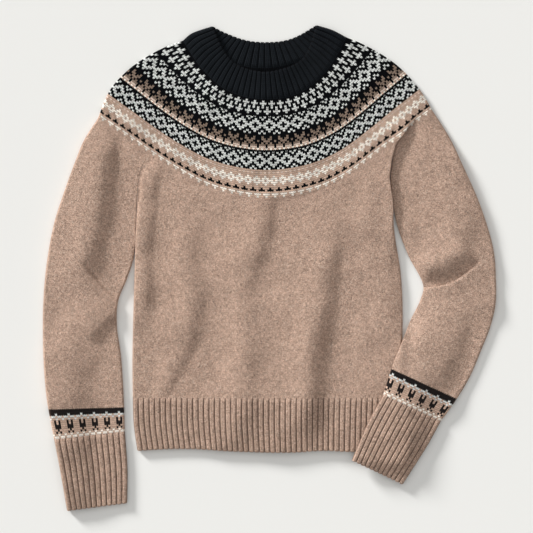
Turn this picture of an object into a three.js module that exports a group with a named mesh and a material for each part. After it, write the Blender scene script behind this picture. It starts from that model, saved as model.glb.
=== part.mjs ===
// A round-yoke fair isle jumper, lying flat with its front up.
// Millimetres. The neck points to +Y, the wearer's right sleeve to -X, and the front faces +Z.
import * as THREE from "three";

// Cloth
const WALL = 3; // thickness of one knitted layer
const LIE = 7.5; // two layers lying on each other, with the air that the wool traps
const HALF = LIE / 2; // height of the line where the cloth folds round
const SEAM = 0.3; // gap left at a seam
const TURN = 10; // how far in from a side fold the cloth is still turning over
const CREASE_TURN = 15; // the same beside the right sleeve, where body and sleeve roll into a deep crease
const CREASE_ROWS = 5; // intervals of the side tables that body and sleeve share along their crease
const CREASE_SHARE = 0.3; // share of a side in which the crease between body and sleeve deepens
const NECK_STAND = 1.5; // the neckband's free edge stands this much higher than its base
const UPPER_TURN = [0, 30, 60, 90]; // degrees of that turn where the upper layer has a point
const LOWER_TURN = [0, 45, 90];

// Folds and seams in plan
const FOLD_FADE = 0.35; // share of a fold's run in which each end fades out
const DEEPEST_TROUGH = 1.2; // the layers below leave no more room
const SEAM_SHIFT = 0.24; // each side of a slanting seam is moved this far from its line
const SEAM_STEPS = 40; // points on a seam line that two pieces share

// Steps across the flat of each layer, and down the yoke
const STEPS = {
  yokeDown: 7,
  yokeAbove: 32,
  yokeBelow: 22,
  front: 22,
  back: 20,
  sleeveAbove: 7,
  sleeveBelow: 3,
  ribBelow: 8,
};

// Ribs
const HEM_RIBS = 49;
const CUFF_RIBS = 12;
const NECK_FRONT_RIBS = 36;
const NECK_BACK_RIBS = 24;
const RIB_HEIGHT = 1.2;
const RIB_SHAPE = [0, 1, 1]; // height at each third of a rib, as a share of RIB_HEIGHT
const RIB_START = 0.1; // share of a ribbed piece's depth in which its ribs rise from the seam

// Rows of a table as objects with named columns
const table = (columns, rows) => {
  const names = columns.split(" ");
  return rows.map((row) => Object.fromEntries(names.map((name, i) => [name, row[i]])));
};

// The line where the yoke meets the body and the sleeves, from the left side fold to the right one
const YOKE_EDGE = table("x front back", [
  [-257, 225, 225],
  [-214, 196.5, 196.5],
  [-175, 169.5, 169.5],
  [-135, 144.5, 156],
  [-95, 123.5, 152],
  [-52, 110.5, 150],
  [-8, 105, 149],
  [36, 108.5, 150],
  [80, 120, 153],
  [122, 142, 159],
  [162, 172.5, 173],
  [205, 206.5, 206.5],
  [245, 235.5, 235.5],
]);
// X on that line where the body ends and each sleeve begins
const ARMHOLE_LEFT = -178.5;
const ARMHOLE_RIGHT = 200;

// Neck seam and the neckband's free edge
const NECK_BASE_FRONT = table("x y", [
  [-130, 341],
  [-105, 303],
  [-73, 272],
  [-44, 258.5],
  [-8, 253],
  [30, 256.5],
  [61, 272],
  [84, 293],
  [102, 320],
  [116, 346],
]);
const NECK_BASE_BACK = table("x y", [
  [-130, 341],
  [-90, 317],
  [-46, 304.5],
  [-12, 300],
  [25, 304.5],
  [70, 321],
  [116, 346],
]);
const NECK_TOP_FRONT = table("x y", [
  [-85.5, 363],
  [-69, 328],
  [-57.5, 312.5],
  [-42, 302],
  [-6, 294],
  [32, 303],
  [48, 312.5],
  [57.5, 326],
  [70.5, 364.5],
]);
const NECK_TOP_BACK = table("x y", [
  [-85.5, 363],
  [-67, 353.5],
  [-35, 342],
  [-6, 339],
  [23, 341.5],
  [42, 348],
  [70.5, 364.5],
]);

// Side lines of each piece, in matching rows from its top to its bottom
const NECK_SIDES = table("leftX leftY rightX rightY", [
  [-130, 341, 116, 346],
  [-117.5, 351.5, 95, 357],
  [-85.5, 363, 70.5, 364.5],
]);
const YOKE_SIDES = table("leftX leftY rightX rightY", [
  [-130, 341, 116, 346],
  [-152, 333.5, 138, 337],
  [-185, 316.5, 171, 319],
  [-211, 298, 197, 299.5],
  [-236, 272, 223, 271],
  [-248, 249, 235, 253],
  [-257, 225, 245, 235.5],
]);
const BODY_SIDES = table("leftX leftY rightX rightY", [
  [-189.5, 154.5, 188.5, 188],
  [-195.5, 135, 184, 158],
  [-198.5, 97.5, 181, 132],
  [-200, 54, 184.5, 98],
  [-201.5, 15, 187.5, 55],
  [-203, -30, 197, -8],
  [-204.5, -85, 200, -65],
  [-205.5, -140, 198.5, -130],
  [-205, -195, 196, -195],
]);
const HEM_SIDES = table("leftX leftY rightX rightY", [
  [-205, -195, 196, -195],
  [-203.5, -235, 194.5, -235],
  [-198, -274.5, 192.5, -275],
]);
const SLEEVE_LEFT_SIDES = table("leftX leftY rightX rightY", [
  [-278, 192, -190, 154.5],
  [-290, 163.5, -196, 135],
  [-307, 117, -199.2, 97.5],
  [-322.5, 69, -201, 54],
  [-333, 15, -204, 15],
  [-337.5, -24, -214, -16.5],
  [-339.5, -57, -227, -49.5],
  [-340, -88, -229, -84],
  [-339, -135, -222.5, -135],
  [-334, -196.5, -218.5, -196.5],
  [-323, -256.5, -217, -245],
]);
const SLEEVE_RIGHT_SIDES = table("leftX leftY rightX rightY", [
  [189.2, 188, 258, 216],
  [184.6, 158, 274, 189],
  [181.7, 132, 290, 154.5],
  [185.7, 98, 311, 108],
  [191.5, 65, 327, 63],
  [208, 20, 337, 24],
  [231, -27, 340, -18],
  [226.5, -48, 339.5, -54],
  [212, -78, 331.5, -88.5],
  [199, -109.5, 318, -123],
  [189, -134, 301, -163],
  [182, -152.5, 279.5, -199],
  [170.5, -189, 257.5, -229.5],
]);
const CUFF_LEFT_SIDES = table("leftX leftY rightX rightY", [
  [-323, -256.5, -217, -245],
  [-313.5, -306, -213, -300],
  [-303.5, -364.5, -213.5, -353],
]);
const CUFF_RIGHT_SIDES = table("leftX leftY rightX rightY", [
  [170.5, -189, 257.5, -229.5],
  [149, -228, 238, -265],
  [123, -288, 200, -325],
]);
const HEM_EDGE = table("x y", [
  [-198, -274.5],
  [-152, -272],
  [-110, -272],
  [-52, -275.5],
  [34, -277],
  [78, -274.5],
  [140, -276.5],
  [192.5, -275],
]);

// Soft folds of the upper layer: a ridge if height is positive, a trough if it is negative.
// Each runs from (x1, y1) to (x2, y2) with a bell of the given half width, and fades out over its two ends.
const FOLDS = table("x1 y1 x2 y2 width height", [
  [-178, 118, -180, -35, 16, -1],
  [-160, 96, -150, -60, 14, 1.1],
  [-126, 108, -104, -90, 18, -1.1],
  [-104, -90, -140, -168, 16, -0.9],
  [-84, 80, -66, -60, 22, 1],
  [2, 98, -17, -50, 18, -1],
  [38, 90, 30, -40, 26, 0.9],
  [92, 50, 74, -170, 18, -1],
  [124, 70, 120, -110, 24, 1],
  [-240, 176, -248, 90, 16, -1],
  [-248, 90, -268, -20, 18, -1],
  [-206, 165, -218, 60, 14, 1.6],
  [-268, -30, -231, -55, 12, 2.2],
  [-282, -2, -236, -38, 9, -1.1],
  [-246, -86, -262, -150, 18, -1],
  [-300, -120, -296, -210, 20, 1],
  [262, 170, 292, 60, 20, 1.2],
  [222, 120, 240, 40, 16, -1],
  [236, -34, 326, -6, 14, 3.6],
  [234, -16, 318, 8, 9, -1.2],
  [292, -70, 262, -140, 20, 1.2],
]);

// The lower end of the right sleeve climbs onto the body's edge and lies on the ribs of the hem
const CLIMB = {
  height: LIE + RIB_HEIGHT + 0.4,
  bodyEdge: 201, // X where it has to be clear of the body
  run: 38, // distance in which it comes down to the floor beyond that edge
  startY: -62, // the sleeve starts to rise here
  fullY: -104,
  hemEdge: -298, // below the hem it comes down again
  hemRun: 30,
};

const clamp = (value) => Math.min(1, Math.max(0, value));
const smooth = (value) => clamp(value) ** 2 * (3 - 2 * clamp(value));
const lerp = (a, b, share) => a + (b - a) * share;

const evenRows = (count) => Array.from({ length: count + 1 }, (_, i) => i / count);

const curve = (points) =>
  new THREE.CatmullRomCurve3(
    points.map(({ x, y }) => new THREE.Vector3(x, y, 0)),
    false,
    "centripetal",
  );

// The stretch of a curve between two shares of its length, moved by dy
function stretch(line, from, to, dy = 0) {
  const shares = evenRows(SEAM_STEPS).map((share) => lerp(from, to, share));
  const points = shares.map((share) => line.getPointAt(share));
  return curve(points.map((p) => ({ x: p.x, y: p.y + dy })));
}

// The share of a curve's length where it crosses x, found by halving
function shareAtX(line, x) {
  const halvings = 40;
  let [low, high] = [0, 1];
  for (let i = 0; i < halvings; i++) {
    const middle = (low + high) / 2;
    if (line.getPointAt(middle).x < x) low = middle;
    else high = middle;
  }
  return low;
}

// A patch of cloth in plan, between a top and a bottom curve and two side curves with matching rows.
// at() is the plan point at a share down the sides and a share across; length() is how long a row is.
function patch(top, bottom, sides) {
  const left = curve(sides.map((row) => ({ x: row.leftX, y: row.leftY })));
  const right = curve(sides.map((row) => ({ x: row.rightX, y: row.rightY })));
  const corners = [left.getPoint(0), right.getPoint(0), left.getPoint(1), right.getPoint(1)];
  const bow = [top, bottom].map(
    (line, i) => line.getLength() - corners[2 * i].distanceTo(corners[2 * i + 1]),
  );
  const length = (down) =>
    left.getPoint(down).distanceTo(right.getPoint(down)) + lerp(bow[0], bow[1], down);
  const at = (down, across) => {
    const share = clamp(across);
    const between = top.getPointAt(share).lerp(bottom.getPointAt(share), down);
    const chord = corners[0].clone().lerp(corners[1], share);
    chord.lerp(corners[2].clone().lerp(corners[3], share), down);
    return left.getPoint(down).lerp(right.getPoint(down), share).add(between).sub(chord);
  };
  return { at, length };
}

// How much the folds lift or sink the upper layer at a plan point
function relief(x, y) {
  let sum = 0;
  for (const fold of FOLDS) {
    const runX = fold.x2 - fold.x1;
    const runY = fold.y2 - fold.y1;
    const run = Math.hypot(runX, runY);
    const along = ((x - fold.x1) * runX + (y - fold.y1) * runY) / run;
    const across = ((x - fold.x1) * runY - (y - fold.y1) * runX) / run;
    const fade = run * FOLD_FADE;
    const ends = smooth((along + fade / 2) / fade) * smooth((run + fade / 2 - along) / fade);
    sum += fold.height * ends * Math.exp(-((across / fold.width) ** 2));
  }
  return Math.max(sum, -DEEPEST_TROUGH);
}

const climb = (x, y) =>
  CLIMB.height *
  smooth((CLIMB.bodyEdge + CLIMB.run - x) / CLIMB.run) *
  smooth((y - CLIMB.hemEdge + CLIMB.hemRun) / CLIMB.hemRun) *
  smooth((CLIMB.startY - y) / (CLIMB.startY - CLIMB.fullY));

// Columns of a section. layer is 1 above and -1 below; side is -1 or 1 in the turn of a fold, 0 on the flat.
const turnColumns = (layer, side) =>
  (layer > 0 ? UPPER_TURN : LOWER_TURN).map((degrees) => ({
    layer,
    side,
    turn: THREE.MathUtils.degToRad(degrees),
    rib: 0,
  }));

function flatColumns(layer, count, ribs = 0) {
  const steps = ribs ? ribs * RIB_SHAPE.length : count;
  return Array.from({ length: steps - 1 }, (_, i) => ({
    layer,
    side: 0,
    share: (i + 1) / steps,
    rib: ribs ? RIB_SHAPE[(i + 1) % RIB_SHAPE.length] : 0,
  }));
}

// One layer from its left fold to its right one
const layerColumns = (layer, count, ribs) => [
  ...turnColumns(layer, -1),
  ...flatColumns(layer, count, ribs),
  ...turnColumns(layer, 1).reverse(),
];

// A tube's columns, over the top from left to right and back underneath; both folds are shared
const tubeColumns = (above, below) => [
  ...layerColumns(1, above.count, above.ribs),
  ...layerColumns(-1, below.count, below.ribs).reverse().slice(1, -1),
];

// The outer and the inner point of a wall at one row and one column
function wallPoints(piece, down, column) {
  const { above, below, depth = () => 1, gap = () => 0, turn = () => TURN } = piece;
  const plan = column.layer > 0 ? above : below;
  const length = plan.length(down);
  const reach = turn(column.side);
  const folded = column.side ? depth(column.side, down) : 1;
  const rise = column.side ? 1 - folded * (1 - Math.sin(column.turn)) : 1;
  const half = column.side ? gap(column.side) / 2 : 0;
  const points = [0, WALL].map((inward) => {
    let across = lerp(turn(-1), length - turn(1), column.share ?? 0) / length;
    if (column.side) {
      const start = inward * folded;
      const inset = start + (reach - start) * (1 - Math.cos(column.turn));
      across = column.side > 0 ? 1 - inset / length : inset / length;
    }
    const { x, y } = plan.at(down, across);
    const lifted = (piece.lift ? piece.lift(x, y) : 0) + HALF;
    const bulge = column.layer > 0 && piece.relief ? piece.relief(x, y, down) * rise : 0;
    const z = lifted + bulge + column.layer * (half + (HALF - inward - half) * rise);
    return new THREE.Vector3(x, y, z);
  });
  const raised = column.rib * RIB_HEIGHT * smooth(down / RIB_START);
  points[column.layer > 0 ? 0 : 1].z += raised;
  return points;
}

// A closed wall from rows of sections: outer skin, inner skin and the edges between them
function wall(piece, rows, columns, ring) {
  const positions = [];
  const index = [];
  for (const down of rows) {
    for (const column of columns) {
      const [outer, inner] = wallPoints(piece, down, column);
      positions.push(...outer.toArray(), ...inner.toArray());
    }
  }
  const count = columns.length;
  const vertex = (row, column, skin) => 2 * (row * count + (column % count)) + skin;
  const quad = (a, b, c, d) => index.push(a, b, c, a, c, d);
  const lastRow = rows.length - 1;
  const lastColumn = ring ? count : count - 1;
  for (let row = 0; row < lastRow; row++) {
    for (let column = 0; column < lastColumn; column++) {
      const next = column + 1;
      quad(vertex(row, column, 0), vertex(row + 1, column, 0), vertex(row + 1, next, 0), vertex(row, next, 0));
      quad(vertex(row, column, 1), vertex(row, next, 1), vertex(row + 1, next, 1), vertex(row + 1, column, 1));
    }
    if (!ring) {
      quad(vertex(row, 0, 0), vertex(row, 0, 1), vertex(row + 1, 0, 1), vertex(row + 1, 0, 0));
      const end = count - 1;
      quad(vertex(row, end, 0), vertex(row + 1, end, 0), vertex(row + 1, end, 1), vertex(row, end, 1));
    }
  }
  for (let column = 0; column < lastColumn; column++) {
    const next = column + 1;
    quad(vertex(0, column, 0), vertex(0, next, 0), vertex(0, next, 1), vertex(0, column, 1));
    quad(
      vertex(lastRow, column, 0),
      vertex(lastRow, column, 1),
      vertex(lastRow, next, 1),
      vertex(lastRow, next, 0),
    );
  }
  const geometry = new THREE.BufferGeometry();
  geometry.setAttribute("position", new THREE.Float32BufferAttribute(positions, 3));
  geometry.setIndex(index);
  return facingOut(geometry);
}

// Turns every face round where the signed volume says that they point inwards
function facingOut(geometry) {
  const { array } = geometry.getAttribute("position");
  const faces = geometry.index.array;
  const corner = (i) => new THREE.Vector3().fromArray(array, 3 * faces[i]);
  let volume = 0;
  for (let i = 0; i < faces.length; i += 3) volume += corner(i).dot(corner(i + 1).cross(corner(i + 2)));
  if (volume < 0) {
    for (let i = 0; i < faces.length; i += 3) [faces[i], faces[i + 1]] = [faces[i + 1], faces[i]];
  }
  geometry.computeVertexNormals();
  return geometry;
}

// Rows of a ribbed piece, and of one that drapes over something
const RIB_ROWS = [0, RIB_START, 1];
const DRAPED_RIB_ROWS = [0, RIB_START, 0.4, 0.7, 1];

// Section rows at the rows of a sides table, and halfway between them in its first few intervals
const halfRows = (intervals, halved) =>
  evenRows(2 * intervals).filter((_, i) => i % 2 === 0 || i < 2 * halved);

const wool = {
  beige: { color: 0xb0947f, roughness: 0.95, metalness: 0 },
  black: { color: 0x181a1d, roughness: 0.95, metalness: 0 },
};

const group = new THREE.Group();

function add(name, geometry, look) {
  const mesh = new THREE.Mesh(geometry, new THREE.MeshStandardMaterial(look));
  mesh.name = name;
  group.add(mesh);
}

const straight = (sides, row) => {
  const { leftX, leftY, rightX, rightY } = sides.at(row);
  return curve([
    { x: leftX, y: leftY },
    { x: (leftX + rightX) / 2, y: (leftY + rightY) / 2 },
    { x: rightX, y: rightY },
  ]);
};

// Yoke, and the lines that the body and sleeves take over from it
const yokeEdge = {
  front: curve(YOKE_EDGE.map((row) => ({ x: row.x, y: row.front }))),
  back: curve(YOKE_EDGE.map((row) => ({ x: row.x, y: row.back }))),
};

function sidesFrom(line, rows) {
  const from = line.getPointAt(0);
  const to = line.getPointAt(1);
  return [{ leftX: from.x, leftY: from.y, rightX: to.x, rightY: to.y }, ...rows];
}

function buildYoke() {
  const down = (line) => stretch(line, 0, 1, SEAM_SHIFT);
  const base = (points) => stretch(curve(points), 0, 1, -SEAM_SHIFT);
  const piece = {
    above: patch(base(NECK_BASE_FRONT), down(yokeEdge.front), YOKE_SIDES),
    below: patch(base(NECK_BASE_BACK), down(yokeEdge.back), YOKE_SIDES),
    relief,
  };
  const columns = tubeColumns({ count: STEPS.yokeAbove }, { count: STEPS.yokeBelow });
  add("yoke", wall(piece, evenRows(STEPS.yokeDown), columns, true), wool.black);
}

const armhole = (line, inward) => [
  shareAtX(line, ARMHOLE_LEFT + inward * SEAM_SHIFT),
  shareAtX(line, ARMHOLE_RIGHT - inward * SEAM_SHIFT),
];

// The crease beside a sleeve deepens from nothing at the yoke to a full fold
const creaseDepth = (down) => smooth(down / CREASE_SHARE);

function buildBody() {
  for (const [name, layer, count, rows] of [
    ["front", 1, STEPS.front, halfRows(BODY_SIDES.length, BODY_SIDES.length)],
    ["back", -1, STEPS.back, halfRows(BODY_SIDES.length, CREASE_ROWS)],
  ]) {
    const line = yokeEdge[name];
    const top = stretch(line, ...armhole(line, 1), -SEAM_SHIFT);
    const sides = sidesFrom(top, BODY_SIDES);
    const plan = patch(top, straight(sides, -1), sides);
    const piece = {
      above: plan,
      below: plan,
      depth: (side, down) => creaseDepth(down),
      turn: (side) => (side > 0 ? CREASE_TURN : TURN),
      gap: () => SEAM,
      relief,
    };
    add(name, wall(piece, rows, layerColumns(layer, count), false), wool.beige);
  }
}

// A sleeve is one strip: from the underarm seam over the upper layer, round the outer fold and back below
function buildSleeve(name, seamSide, rows, lift) {
  const plans = ["front", "back"].map((layer) => {
    const line = yokeEdge[layer];
    const [left, right] = armhole(line, -1);
    const top = seamSide > 0 ? stretch(line, 0, left, -SEAM_SHIFT) : stretch(line, right, 1, -SEAM_SHIFT);
    const sides = sidesFrom(top, rows);
    return patch(top, straight(sides, -1), sides);
  });
  const piece = {
    above: plans[0],
    below: plans[1],
    depth: (side, down) => (side === seamSide ? creaseDepth(down) : 1),
    turn: (side) => (side === seamSide && seamSide < 0 ? CREASE_TURN : TURN),
    gap: (side) => (side === seamSide ? SEAM : 0),
    relief,
    lift,
  };
  const upper = layerColumns(1, STEPS.sleeveAbove);
  const lower = layerColumns(-1, STEPS.sleeveBelow);
  if (seamSide > 0) upper.reverse();
  else lower.reverse();
  const columns = [...upper, ...lower.slice(1)];
  add(name, wall(piece, halfRows(rows.length, rows.length), columns, false), wool.beige);
}

// A ribbed ring that follows on from the last row of the piece above it
function buildRib(name, sides, ribs, steps, edge, lift) {
  const [first, ...others] = sides;
  const rows = [{ ...first, leftY: first.leftY - SEAM, rightY: first.rightY - SEAM }, ...others];
  const plan = patch(straight(rows, 0), edge, rows);
  const piece = { above: plan, below: plan, lift };
  const columns = tubeColumns({ ribs }, { count: STEPS.ribBelow });
  add(name, wall(piece, steps, columns, true), wool.beige);
}

function buildNeckband() {
  const base = (points) => stretch(curve(points), 0, 1, SEAM_SHIFT);
  const piece = {
    above: patch(base(NECK_BASE_FRONT), curve(NECK_TOP_FRONT), NECK_SIDES),
    below: patch(base(NECK_BASE_BACK), curve(NECK_TOP_BACK), NECK_SIDES),
    relief: (x, y, down) => NECK_STAND * down,
  };
  const columns = tubeColumns({ ribs: NECK_FRONT_RIBS }, { ribs: NECK_BACK_RIBS });
  add("neckband", wall(piece, RIB_ROWS, columns, true), wool.black);
}

buildNeckband();
buildYoke();
buildBody();
buildSleeve("sleeve_left", 1, SLEEVE_LEFT_SIDES);
buildSleeve("sleeve_right", -1, SLEEVE_RIGHT_SIDES, climb);
buildRib("hem_band", HEM_SIDES, HEM_RIBS, RIB_ROWS, curve(HEM_EDGE));
buildRib("cuff_left", CUFF_LEFT_SIDES, CUFF_RIBS, RIB_ROWS, straight(CUFF_LEFT_SIDES, -1));
buildRib("cuff_right", CUFF_RIGHT_SIDES, CUFF_RIBS, DRAPED_RIB_ROWS, straight(CUFF_RIGHT_SIDES, -1), climb);

// The origin is under the middle of the garment, on the surface that it lies on
const box = new THREE.Box3().setFromObject(group);
const middle = box.getCenter(new THREE.Vector3());
group.position.set(-middle.x, -middle.y, -box.min.z);

export default group;
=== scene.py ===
# %% [markdown]
# # A fair isle jumper lying flat
#
# The jumper is knitted wool: a body and sleeves in a beige heather yarn, a round yoke and two sleeve
# bands in stranded patterns, a black neckband, and ribs at the hem and the cuffs. It lies on a pale
# table with its front up and is seen from straight above. Each piece of knitting is made here as a
# thin shell with two skins, on the form of the solid that it replaces. The knitted stitches, far too
# many to model, are worked out in the materials from a count of stitches and rows.

# %% Load the solids
import math

import bmesh
import bpy
import numpy as np
from mathutils import Matrix, Vector


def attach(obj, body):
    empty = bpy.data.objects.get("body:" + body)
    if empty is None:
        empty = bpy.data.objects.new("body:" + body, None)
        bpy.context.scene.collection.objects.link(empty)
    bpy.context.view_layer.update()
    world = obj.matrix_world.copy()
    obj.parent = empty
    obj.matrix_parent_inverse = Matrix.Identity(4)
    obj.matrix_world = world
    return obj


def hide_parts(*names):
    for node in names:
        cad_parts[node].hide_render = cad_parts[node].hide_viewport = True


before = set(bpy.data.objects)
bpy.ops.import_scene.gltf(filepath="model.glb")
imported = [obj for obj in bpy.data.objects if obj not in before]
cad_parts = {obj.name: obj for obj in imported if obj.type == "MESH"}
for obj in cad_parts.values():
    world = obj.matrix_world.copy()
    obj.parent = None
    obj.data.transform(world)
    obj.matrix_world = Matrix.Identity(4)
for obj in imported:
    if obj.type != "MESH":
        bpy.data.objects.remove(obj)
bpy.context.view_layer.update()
print("solids:", ", ".join(sorted(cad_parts)))

# %% [markdown]
# ## Sizes
#
# A knitter thinks in millimetres, so every size and place below is in millimetres, and a piece
# becomes metres only when its mesh is written. Two layers of wool lie on each other: each wall is
# 3 mm thick, and the air that the wool traps makes the flat garment 7.5 mm high. The upper layer
# gets a little more loft here than in the solids, which gives the folds room.

# %% Sizes of the cloth
METRE = 0.001
WALL = 3.0
LIE = 7.5
HALF = LIE / 2
SEAM = 0.3  # gap left between the layers where two pieces meet at a closed fold
TURN = 3.6  # how far in from a side fold the cloth is still turning over
CREASE_TURN = 20.0  # the same for the right sleeve beside the body
NECK_STAND = 1.5  # how much higher the neckband's free edge stands
LOFT = 1.0
DEEPEST = -0.9  # the lowest that the upper layer may sink
RIB_HEIGHT = 1.6
STEP = 2.6  # spacing of the mesh above
BACK_STEP = 4.0  # and below, where it isn't seen
ROW = 3.0  # height of a row of stitches
print(f"two walls of {WALL} mm make a garment {LIE} mm high")

# %% Sizes of the pieces


def table(columns, rows):
    """The rows of a table as one array for each named column."""
    return dict(zip(columns.split(), np.array(rows, float).T))


YOKE_EDGE = table("x front back", [
    (-257, 225, 225), (-214, 196.5, 196.5), (-175, 169.5, 169.5), (-135, 144.5, 156), (-95, 123.5, 152),
    (-52, 110.5, 150), (-8, 105, 149), (36, 108.5, 150), (80, 120, 153), (122, 142, 159),
    (162, 172.5, 173), (205, 206.5, 206.5), (245, 235.5, 235.5),
])
ARMHOLES = (-178.5, 200.0)  # x on that line where the body ends and each sleeve begins

NECK_BASE_FRONT = table("x y", [
    (-130, 341), (-105, 303), (-73, 272), (-44, 258.5), (-8, 253),
    (30, 256.5), (61, 272), (84, 293), (102, 320), (116, 346),
])
NECK_BASE_BACK = table("x y", [
    (-130, 341), (-90, 317), (-46, 304.5), (-12, 300), (25, 304.5), (70, 321), (116, 346),
])
NECK_TOP_FRONT = table("x y", [
    (-85.5, 363), (-69, 328), (-57.5, 312.5), (-42, 302), (-6, 294),
    (32, 303), (48, 312.5), (57.5, 326), (70.5, 364.5),
])
NECK_TOP_BACK = table("x y", [
    (-85.5, 363), (-67, 353.5), (-35, 342), (-6, 339), (23, 341.5), (42, 348), (70.5, 364.5),
])
HEM_EDGE = table("x y", [
    (-198, -274.5), (-152, -272), (-110, -272), (-52, -275.5),
    (34, -277), (78, -274.5), (140, -276.5), (192.5, -275),
])

# Side lines of each piece, in matching rows from its top to its bottom
SIDES = "left_x left_y right_x right_y"
NECK_SIDES = table(SIDES, [(-130, 341, 116, 346), (-117.5, 351.5, 95, 357), (-85.5, 363, 70.5, 364.5)])
YOKE_SIDES = table(SIDES, [
    (-130, 341, 116, 346), (-152, 333.5, 138, 337), (-185, 316.5, 171, 319), (-211, 298, 197, 299.5),
    (-236, 272, 223, 271), (-248, 249, 235, 253), (-257, 225, 245, 235.5),
])
BODY_SIDES = table(SIDES, [
    (-189.5, 154.5, 188.5, 188), (-195.5, 135, 184, 158), (-198.5, 97.5, 181, 132), (-200, 54, 184.5, 98),
    (-201.5, 15, 187.5, 55), (-203, -30, 197, -8), (-204.5, -85, 200, -65), (-205.5, -140, 198.5, -130),
    (-205, -195, 196, -195),
])
HEM_SIDES = table(SIDES, [(-205, -195, 196, -195), (-203.5, -235, 194.5, -235), (-198, -274.5, 192.5, -275)])
SLEEVE_LEFT_SIDES = table(SIDES, [
    (-278, 192, -190, 154.5), (-290, 163.5, -196, 135), (-307, 117, -199.2, 97.5), (-322.5, 69, -201, 54),
    (-333, 15, -204, 15), (-337.5, -24, -214, -16.5), (-339.5, -57, -227, -49.5), (-340, -88, -229, -84),
    (-339, -135, -222.5, -135), (-334, -196.5, -218.5, -196.5), (-323, -256.5, -217, -245),
])
SLEEVE_RIGHT_SIDES = table(SIDES, [
    (189.2, 188, 258, 216), (184.6, 158, 274, 189), (181.7, 132, 290, 154.5), (185.7, 98, 311, 108),
    (191.5, 65, 327, 63), (208, 20, 337, 24), (231, -27, 340, -18), (226.5, -48, 339.5, -54),
    (212, -78, 331.5, -88.5), (199, -109.5, 318, -123), (189, -134, 301, -163), (182, -152.5, 279.5, -199),
    (170.5, -189, 257.5, -229.5),
])
CUFF_LEFT_SIDES = table(SIDES, [
    (-323, -256.5, -217, -245), (-313.5, -306, -213, -300), (-303.5, -364.5, -213.5, -353),
])
CUFF_RIGHT_SIDES = table(SIDES, [
    (170.5, -189, 257.5, -229.5), (149, -228, 238, -265), (123, -288, 200, -325),
])
HEM_RIBS, CUFF_RIBS, NECK_FRONT_RIBS, NECK_BACK_RIBS = 49, 12, 36, 24
hem_width = HEM_SIDES["right_x"][0] - HEM_SIDES["left_x"][0]
print(f"the hem is {hem_width:.0f} mm wide, so a rib is {hem_width / HEM_RIBS:.1f} mm wide")

# %% [markdown]
# ## Smooth lines and patches
#
# A pattern cutter draws a seam through a few points and lets the curve find its own way. A
# Catmull-Rom curve does the same: it passes through every point, and its centripetal form neither
# loops nor overshoots. Between a top line, a bottom line and two side lines a Coons patch then spans
# the flat piece, so each piece of knitting has a place for every share down and across it.

# %% A smooth line


class Line:
    """A centripetal Catmull-Rom curve, read by its rows or by its length."""

    SAMPLES = 600

    def __init__(self, x, y):
        inner = np.stack([x, y], axis=1)
        self.points = np.vstack([2 * inner[0] - inner[1], inner, 2 * inner[-1] - inner[-2]])
        self.shares = np.linspace(0, 1, self.SAMPLES + 1)
        steps = np.linalg.norm(np.diff(self.at(self.shares), axis=0), axis=1)
        self.run = np.concatenate([[0], np.cumsum(steps)])
        self.length = self.run[-1]

    def at(self, share):
        share = np.clip(np.asarray(share, float), 0, 1)
        spans = len(self.points) - 3
        first = np.minimum((share * spans).astype(int), spans - 1)
        t = (share * spans - first)[..., None]
        p0, p1, p2, p3 = (self.points[first + i] for i in range(4))
        d0, d1, d2 = (np.linalg.norm(b - a, axis=-1, keepdims=True) ** 0.5
                      for a, b in ((p0, p1), (p1, p2), (p2, p3)))
        leave = ((p1 - p0) / d0 - (p2 - p0) / (d0 + d1) + (p2 - p1) / d1) * d1
        arrive = ((p2 - p1) / d1 - (p3 - p1) / (d1 + d2) + (p3 - p2) / d2) * d1
        return (p1 + leave * t + (3 * (p2 - p1) - 2 * leave - arrive) * t ** 2
                + (2 * (p1 - p2) + leave + arrive) * t ** 3)

    def along(self, share):
        return self.at(np.interp(np.asarray(share, float) * self.length, self.run, self.shares))

    def share_at_x(self, x):
        return float(np.interp(x, self.at(self.shares)[:, 0], self.run) / self.length)

    def stretch(self, start, end):
        points = self.along(np.linspace(start, end, 41))
        return Line(points[:, 0], points[:, 1])


neck_line = Line(NECK_BASE_FRONT["x"], NECK_BASE_FRONT["y"])
print(f"the front of the neck seam is {neck_line.length:.0f} mm long")

# %% A patch between four lines


def clamp(value):
    return np.clip(value, 0, 1)


def smooth(value):
    return clamp(value) ** 2 * (3 - 2 * clamp(value))


def between(a, b, share):
    return a + (b - a) * share


class Patch:
    """A flat piece between a top and a bottom line and two side lines."""

    def __init__(self, top, bottom, sides, even=False, spread=1):
        """A higher spread keeps the bend of a side line near that side."""
        self.top, self.bottom, self.spread = top, bottom, spread
        left = Line(sides["left_x"], sides["left_y"])
        right = Line(sides["right_x"], sides["right_y"])
        self.left = left.along if even else left.at
        self.right = right.along if even else right.at
        self.corners = [left.at(0), right.at(0), left.at(1), right.at(1)]
        chords = [np.linalg.norm(self.corners[2 * i] - self.corners[2 * i + 1]) for i in (0, 1)]
        self.bow = [top.length - chords[0], bottom.length - chords[1]]

    def length(self, down):
        chord = np.linalg.norm(self.left(down) - self.right(down), axis=-1)
        return chord + between(*self.bow, down)

    def at(self, down, across):
        down, across = np.broadcast_arrays(down, clamp(across))
        share, depth = across[..., None], down[..., None]
        top_left, top_right, low_left, low_right = self.corners
        left_bend = self.left(down) - between(top_left, low_left, depth)
        right_bend = self.right(down) - between(top_right, low_right, depth)
        ruled = between(self.top.along(across), self.bottom.along(across), depth)
        return ruled + left_bend * (1 - share) ** self.spread + right_bend * share ** self.spread


def straight(sides, row):
    """A straight line between the two ends of a row."""
    x = (sides["left_x"][row], sides["right_x"][row])
    y = (sides["left_y"][row], sides["right_y"][row])
    return Line(np.array([x[0], sum(x) / 2, x[1]]), np.array([y[0], sum(y) / 2, y[1]]))


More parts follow.
